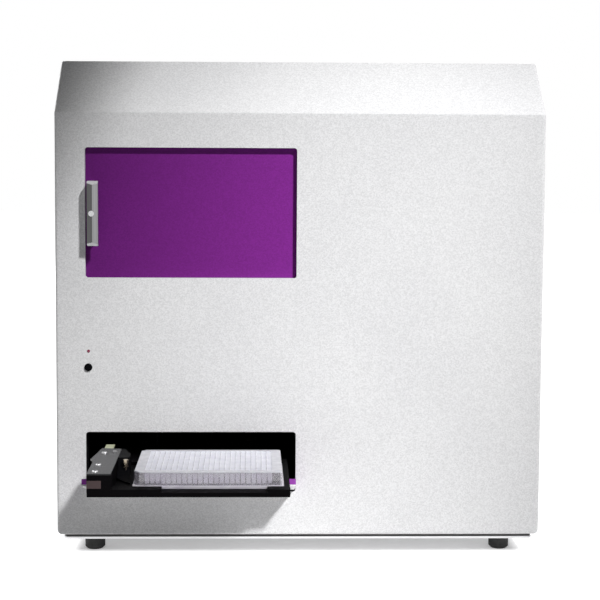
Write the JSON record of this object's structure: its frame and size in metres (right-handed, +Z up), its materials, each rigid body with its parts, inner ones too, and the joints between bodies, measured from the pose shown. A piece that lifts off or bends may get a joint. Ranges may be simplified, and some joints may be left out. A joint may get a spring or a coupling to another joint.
{
  "type": "microplate reader",
  "caption": "Bench microplate reader with a sloped sheet-metal hood, a sliding purple door, and a plate carrier run out over a spring flap.",
  "frame": {"origin": "on the bench plane, below the middle of the whole instrument with its carrier run out", "axes": "+X to the right seen from the front, +Y from the front to the rear, +Z up"},
  "size_m": [0.45, 0.641, 0.4626],
  "materials": {
    "casing": "fine textured light grey powder coat",
    "stainless": "brushed stainless sheet",
    "steel": "bright machined steel",
    "rubber": "matt black rubber",
    "purple_coat": "fine textured purple coat",
    "purple_plastic": "satin purple plastic",
    "black_plastic": "matt black moulded plastic",
    "gloss_black": "glossy black moulded plastic",
    "black_anodised": "black anodised, machined",
    "grey_anodised": "dark grey anodised sheet",
    "aluminium": "brushed",
    "brass": "turned",
    "tab_yellow": "pale yellow",
    "strike_grey": "brown-grey, satin",
    "clear_plate": "clear polystyrene",
    "lamp_red": "dark red lens",
    "belt": "moulded belt",
    "board": "solder mask",
    "motor_black": "black painted"
  },
  "bodies": {
    "housing": {"hood": "casing", "base_plate": "stainless", "base_seal": "rubber", "feet": "rubber", "rear_panel": "casing", "panel_screws": "steel", "slot_liner": "black_plastic", "flap_pins": "steel", "door_rails": "aluminium", "status_lamp": "lamp_red", "control_holder": "black_plastic", "control_board": "board", "transport_bed": "black_anodised", "transport_rails": "steel", "transport_belt": "belt", "transport_motor": "motor_black", "chamber_walls": "black_anodised", "optics_deck": "black_anodised", "head_rails": "steel", "screw_bearings": "aluminium", "screw_motor": "motor_black", "carousel_bridge": "black_anodised", "carousel_motor": "motor_black", "lamp_house": "aluminium", "detector": "aluminium", "power_supply": "stainless", "standoffs": "brass", "main_board": "board", "fan_frame": "black_plastic", "fan_guard": "steel", "mains_inlet": "black_plastic", "data_port": "steel"},
    "carrier": {"carrier_tray": "black_anodised", "carrier_frame": "black_anodised", "clamp_block": "black_anodised", "clamp_bracket": "grey_anodised", "clamp_screws": "steel", "strike_plate": "strike_grey", "sensor_tab": "tab_yellow", "lever_pin": "steel", "carriages": "black_anodised", "belt_clamp": "aluminium"},
    "lever": {"clamp_lever": "gloss_black", "adjusting_screw": "brass"},
    "plate": {"microplate": "clear_plate"},
    "flap": {"flap_skin": "casing", "flap_plate": "purple_plastic"},
    "door": {"door_panel": "purple_coat", "door_handle": "aluminium", "handle_screw": "steel"},
    "button": {"push_button": "gloss_black"},
    "head": {"scan_head": "black_anodised"},
    "barrel": {"focus_barrel": "black_anodised"},
    "leadscrew": {"head_screw": "steel"},
    "turret": {"carousel": "aluminium", "optic_modules": "black_anodised"},
    "drive": {"drive_pulley": "aluminium"},
    "idler": {"idler_pulley": "aluminium"},
    "fan": {"fan_rotor": "black_plastic"},
    "rocker": {"power_rocker": "gloss_black"}
  },
  "joints": [
    {"name": "carrier_slide", "type": "slide", "parent": "housing", "child": "carrier", "axis": [0, 1, 0], "range_m": [0, 0.19]},
    {"name": "plate_lift", "type": "slide", "parent": "carrier", "child": "plate", "axis": [0, 0, 1], "range_m": [0, 0.03]},
    {"name": "lever_swing", "type": "hinge", "parent": "carrier", "child": "lever", "pos_m": [-0.1655, -0.2415, 0.095], "axis": [0, 0, 1], "range_deg": [0, 2.5]},
    {"name": "flap_hinge", "type": "hinge", "parent": "housing", "child": "flap", "pos_m": [-0.1005, -0.1852, 0.0667], "axis": [1, 0, 0], "range_deg": [0, 18], "stiffness_Nm_per_rad": 0.06, "springref_deg": -72},
    {"name": "door_slide", "type": "slide", "parent": "housing", "child": "door", "axis": [1, 0, 0], "range_m": [0, 0.18]},
    {"name": "button_press", "type": "slide", "parent": "housing", "child": "button", "axis": [0, 1, 0], "range_m": [0, 0.0015], "stiffness_N_per_m": 400, "springref_m": -0.001},
    {"name": "head_slide", "type": "slide", "parent": "housing", "child": "head", "axis": [1, 0, 0], "range_m": [-0.052, 0.052]},
    {"name": "focus_slide", "type": "slide", "parent": "head", "child": "barrel", "axis": [0, 0, 1], "range_m": [-0.026, 0]},
    {"name": "leadscrew_turn", "type": "hinge", "parent": "housing", "child": "leadscrew", "pos_m": [0, -0.0615, 0.181], "axis": [1, 0, 0], "range_deg": [-1877, 1877]},
    {"name": "turret_turn", "type": "hinge", "parent": "housing", "child": "turret", "pos_m": [-0.1005, -0.0475, 0.264], "axis": [0, 0, 1], "continuous": true},
    {"name": "drive_turn", "type": "hinge", "parent": "housing", "child": "drive", "pos_m": [-0.0975, 0.0825, 0.062], "axis": [0, 0, 1], "range_deg": [-5, 1250]},
    {"name": "idler_turn", "type": "hinge", "parent": "housing", "child": "idler", "pos_m": [-0.0975, -0.1495, 0.062], "axis": [0, 0, 1], "range_deg": [-5, 1250]},
    {"name": "fan_spin", "type": "hinge", "parent": "housing", "child": "fan", "pos_m": [0.13, 0.3035, 0.3], "axis": [0, 1, 0], "continuous": true},
    {"name": "rocker_tilt", "type": "hinge", "parent": "housing", "child": "rocker", "pos_m": [-0.15, 0.3178, 0.107], "axis": [1, 0, 0], "range_deg": [0, 14]}
  ],
  "couplings": [
    {"joint": "drive_turn", "follows": "carrier_slide", "rad_per_m": 114.29},
    {"joint": "idler_turn", "follows": "carrier_slide", "rad_per_m": 114.29},
    {"joint": "leadscrew_turn", "follows": "head_slide", "rad_per_m": 628.32}
  ]
}
